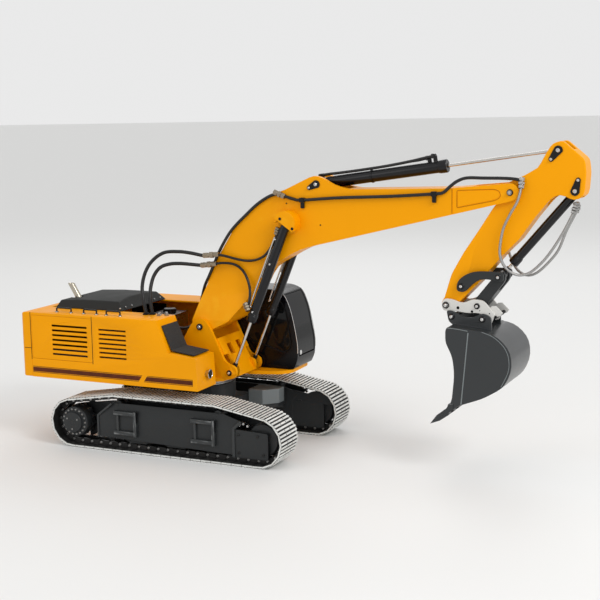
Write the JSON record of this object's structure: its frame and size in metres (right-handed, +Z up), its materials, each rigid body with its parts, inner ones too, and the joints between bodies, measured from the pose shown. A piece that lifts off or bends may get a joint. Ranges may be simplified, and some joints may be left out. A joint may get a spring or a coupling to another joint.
{
  "type": "rc excavator",
  "caption": "Radio-controlled hydraulic crawler excavator with slewing upper body, boom, stick and bucket moved by cylinders, and openable hood, service door and cab door.",
  "frame": {"origin": "middle of the machine's outline, on the ground under the tracks", "axes": "+X forwards along the boom, +Y to the machine's left, +Z up"},
  "size_m": [0.7798, 0.228, 0.4178],
  "materials": {
    "yellow_paint": "glossy deep yellow machine paint, slightly worn on the edges",
    "grey_paint": "satin dark grey paint on the undercarriage",
    "hood_paint": "satin anthracite paint on the hood",
    "bucket_paint": "satin slate-black paint on the bucket",
    "track_steel": "bare satin steel with darkened grooves",
    "black_paint": "semi-gloss black paint",
    "black_plastic": "black moulded cab plastic",
    "matte_plastic": "matt black plastic",
    "white_paint": "off-white paint on the quick coupler",
    "chrome": "polished plated rod",
    "steel": "turned steel",
    "glass": "dark tinted glazing",
    "rubber": "black hose rubber",
    "braid": "steel-braided hose",
    "mat": "gritty anti-slip mat"
  },
  "bodies": {
    "undercarriage": {"centre_frame": "grey_paint", "slew_ring": "steel", "track_frame_right": "grey_paint", "track_right": "track_steel", "drive_motor_right": "black_paint", "track_frame_left": "grey_paint", "track_left": "track_steel", "drive_motor_left": "black_paint"},
    "upper": {"main_deck": "yellow_paint", "right_body": "yellow_paint", "left_body": "yellow_paint", "counterweight": "yellow_paint", "cab_shell": "black_plastic", "cab_windscreen": "glass", "driver_seat": "matte_plastic", "step_mat": "mat", "work_lamp": "matte_plastic", "oil_tank": "steel", "hydraulic_pump": "steel", "valve_block": "steel", "battery": "matte_plastic", "receiver": "matte_plastic", "slew_motor": "black_paint", "boom_foot_pin": "steel", "feed_hose_upper": "rubber", "feed_hose_lower": "rubber"},
    "filler_cap": {"filler_cap": "matte_plastic"},
    "service_door": {"right_door": "yellow_paint"},
    "engine_hood": {"engine_hood": "hood_paint", "exhaust_pipe": "chrome"},
    "cab_door": {"cab_door": "black_plastic"},
    "boom": {"boom": "yellow_paint", "boom_hose": "rubber", "stick_pin": "steel"},
    "stick": {"stick": "yellow_paint", "braided_hose_right": "braid", "braided_hose_left": "braid"},
    "stick_cylinder": {"stick_cylinder": "black_paint"},
    "stick_rod": {"stick_rod": "chrome"},
    "bucket_cylinder": {"bucket_cylinder": "black_paint"},
    "bucket_rod": {"bucket_rod": "chrome"},
    "rocker": {"rocker": "grey_paint"},
    "link": {"link": "grey_paint", "link_pin": "steel"},
    "bucket": {"coupler": "white_paint", "coupler_pin": "steel", "bucket": "bucket_paint", "cutting_edge": "bucket_paint"},
    "sprocket_right": {"sprocket_right": "grey_paint"},
    "idler_right": {"idler_right": "grey_paint"},
    "carrier_roller_rear_right": {"carrier_roller_rear_right": "grey_paint"},
    "carrier_roller_front_right": {"carrier_roller_front_right": "grey_paint"},
    "sprocket_left": {"sprocket_left": "grey_paint"},
    "idler_left": {"idler_left": "grey_paint"},
    "carrier_roller_rear_left": {"carrier_roller_rear_left": "grey_paint"},
    "carrier_roller_front_left": {"carrier_roller_front_left": "grey_paint"},
    "boom_cylinder_right": {"boom_cylinder_right": "black_paint"},
    "boom_rod_right": {"boom_rod_right": "chrome"},
    "boom_cylinder_left": {"boom_cylinder_left": "black_paint"},
    "boom_rod_left": {"boom_rod_left": "chrome"}
  },
  "joints": [
    {"name": "slew_joint", "type": "hinge", "parent": "undercarriage", "child": "upper", "pos_m": [-0.14988, 0, 0.09], "axis": [0, 0, 1], "continuous": true},
    {"name": "sprocket_right_spin", "type": "hinge", "parent": "undercarriage", "child": "sprocket_right", "pos_m": [-0.29388, -0.089, 0.0345], "axis": [0, 1, 0], "continuous": true},
    {"name": "idler_right_spin", "type": "hinge", "parent": "undercarriage", "child": "idler_right", "pos_m": [-0.00488, -0.089, 0.0345], "axis": [0, 1, 0], "continuous": true},
    {"name": "carrier_rear_right_spin", "type": "hinge", "parent": "undercarriage", "child": "carrier_roller_rear_right", "pos_m": [-0.22588, -0.089, 0.06245], "axis": [0, 1, 0], "continuous": true},
    {"name": "carrier_front_right_spin", "type": "hinge", "parent": "undercarriage", "child": "carrier_roller_front_right", "pos_m": [-0.06988, -0.089, 0.06245], "axis": [0, 1, 0], "continuous": true},
    {"name": "sprocket_left_spin", "type": "hinge", "parent": "undercarriage", "child": "sprocket_left", "pos_m": [-0.29388, 0.089, 0.0345], "axis": [0, 1, 0], "continuous": true},
    {"name": "idler_left_spin", "type": "hinge", "parent": "undercarriage", "child": "idler_left", "pos_m": [-0.00488, 0.089, 0.0345], "axis": [0, 1, 0], "continuous": true},
    {"name": "carrier_rear_left_spin", "type": "hinge", "parent": "undercarriage", "child": "carrier_roller_rear_left", "pos_m": [-0.22588, 0.089, 0.06245], "axis": [0, 1, 0], "continuous": true},
    {"name": "carrier_front_left_spin", "type": "hinge", "parent": "undercarriage", "child": "carrier_roller_front_left", "pos_m": [-0.06988, 0.089, 0.06245], "axis": [0, 1, 0], "continuous": true},
    {"name": "boom_hinge", "type": "hinge", "parent": "upper", "child": "boom", "pos_m": [-0.12788, 0, 0.167], "axis": [0, -1, 0], "range_deg": [-35, 25]},
    {"name": "stick_hinge", "type": "hinge", "parent": "boom", "child": "stick", "pos_m": [0.29912, 0, 0.356], "axis": [0, -1, 0], "range_deg": [-4, 75]},
    {"name": "bucket_hinge", "type": "hinge", "parent": "stick", "child": "bucket", "pos_m": [0.21812, 0, 0.213], "axis": [0, -1, 0], "range_deg": [-80, 10]},
    {"name": "boom_cylinder_right_pivot", "type": "hinge", "parent": "boom", "child": "boom_cylinder_right", "pos_m": [0.00212, -0.0298, 0.3125], "axis": [0, -1, 0], "range_deg": [-4.91, 6.47]},
    {"name": "boom_rod_right_slide", "type": "slide", "parent": "boom_cylinder_right", "child": "boom_rod_right", "axis": [-0.3831, 0, -0.9237], "range_m": [-0.04183, 0.03031]},
    {"name": "boom_cylinder_left_pivot", "type": "hinge", "parent": "boom", "child": "boom_cylinder_left", "pos_m": [0.00212, 0.0298, 0.3125], "axis": [0, -1, 0], "range_deg": [-4.91, 6.47]},
    {"name": "boom_rod_left_slide", "type": "slide", "parent": "boom_cylinder_left", "child": "boom_rod_left", "axis": [-0.3831, 0, -0.9237], "range_m": [-0.04183, 0.03031]},
    {"name": "stick_cylinder_pivot", "type": "hinge", "parent": "boom", "child": "stick_cylinder", "pos_m": [0.04112, 0, 0.3625], "axis": [0, -1, 0], "range_deg": [-1.5, 10.3]},
    {"name": "stick_rod_slide", "type": "slide", "parent": "stick_cylinder", "child": "stick_rod", "axis": [0.9902, 0, 0.1399], "range_m": [-0.08413, 0.00591]},
    {"name": "rocker_pivot", "type": "hinge", "parent": "stick", "child": "rocker", "pos_m": [0.23812, 0, 0.238], "axis": [0, -1, 0], "range_deg": [-74.23, 10.15]},
    {"name": "link_pivot", "type": "hinge", "parent": "rocker", "child": "link", "pos_m": [0.28512, 0, 0.2513], "axis": [0, -1, 0], "range_deg": [-7.38, 52.02]},
    {"name": "bucket_cylinder_pivot", "type": "hinge", "parent": "stick", "child": "bucket_cylinder", "pos_m": [0.37712, 0, 0.3585], "axis": [0, -1, 0], "range_deg": [-1.99, 8.93]},
    {"name": "bucket_rod_slide", "type": "slide", "parent": "bucket_cylinder", "child": "bucket_rod", "axis": [-0.6513, 0, -0.7589], "range_m": [-0.00814, 0.05462]},
    {"name": "service_door_hinge", "type": "hinge", "parent": "upper", "child": "service_door", "pos_m": [-0.25988, -0.106, 0.1505], "axis": [0, 0, 1], "range_deg": [0, 110]},
    {"name": "engine_hood_hinge", "type": "hinge", "parent": "upper", "child": "engine_hood", "pos_m": [-0.29538, 0.0603, 0.185], "axis": [-1, 0, 0], "range_deg": [0, 75]},
    {"name": "cab_door_hinge", "type": "hinge", "parent": "upper", "child": "cab_door", "pos_m": [-0.11188, 0.103, 0.154], "axis": [0, 0, 1], "range_deg": [0, 90]},
    {"name": "filler_cap_turn", "type": "hinge", "parent": "upper", "child": "filler_cap", "pos_m": [-0.21188, 0.022, 0.172], "axis": [0, 0, 1], "continuous": true}
  ],
  "couplings": [
    {"joint": "idler_right_spin", "follows": "sprocket_right_spin", "ratio": 1},
    {"joint": "carrier_rear_right_spin", "follows": "sprocket_right_spin", "ratio": 3.7},
    {"joint": "carrier_front_right_spin", "follows": "sprocket_right_spin", "ratio": 3.7},
    {"joint": "idler_left_spin", "follows": "sprocket_left_spin", "ratio": 1},
    {"joint": "carrier_rear_left_spin", "follows": "sprocket_left_spin", "ratio": 3.7},
    {"joint": "carrier_front_left_spin", "follows": "sprocket_left_spin", "ratio": 3.7},
    {"joint": "boom_cylinder_right_pivot", "follows": "boom_hinge", "ratio": -0.15637},
    {"joint": "boom_rod_right_slide", "follows": "boom_hinge", "m_per_rad": 0.066026},
    {"joint": "boom_cylinder_left_pivot", "follows": "boom_hinge", "ratio": -0.15637},
    {"joint": "boom_rod_left_slide", "follows": "boom_hinge", "m_per_rad": 0.066026},
    {"joint": "stick_cylinder_pivot", "follows": "stick_hinge", "ratio": 0.12399},
    {"joint": "stick_rod_slide", "follows": "stick_hinge", "m_per_rad": -0.063128},
    {"joint": "rocker_pivot", "follows": "bucket_hinge", "ratio": 0.9154},
    {"joint": "link_pivot", "follows": "bucket_hinge", "ratio": -0.63777},
    {"joint": "bucket_cylinder_pivot", "follows": "bucket_hinge", "ratio": -0.099117},
    {"joint": "bucket_rod_slide", "follows": "bucket_hinge", "m_per_rad": -0.038043}
  ]
}
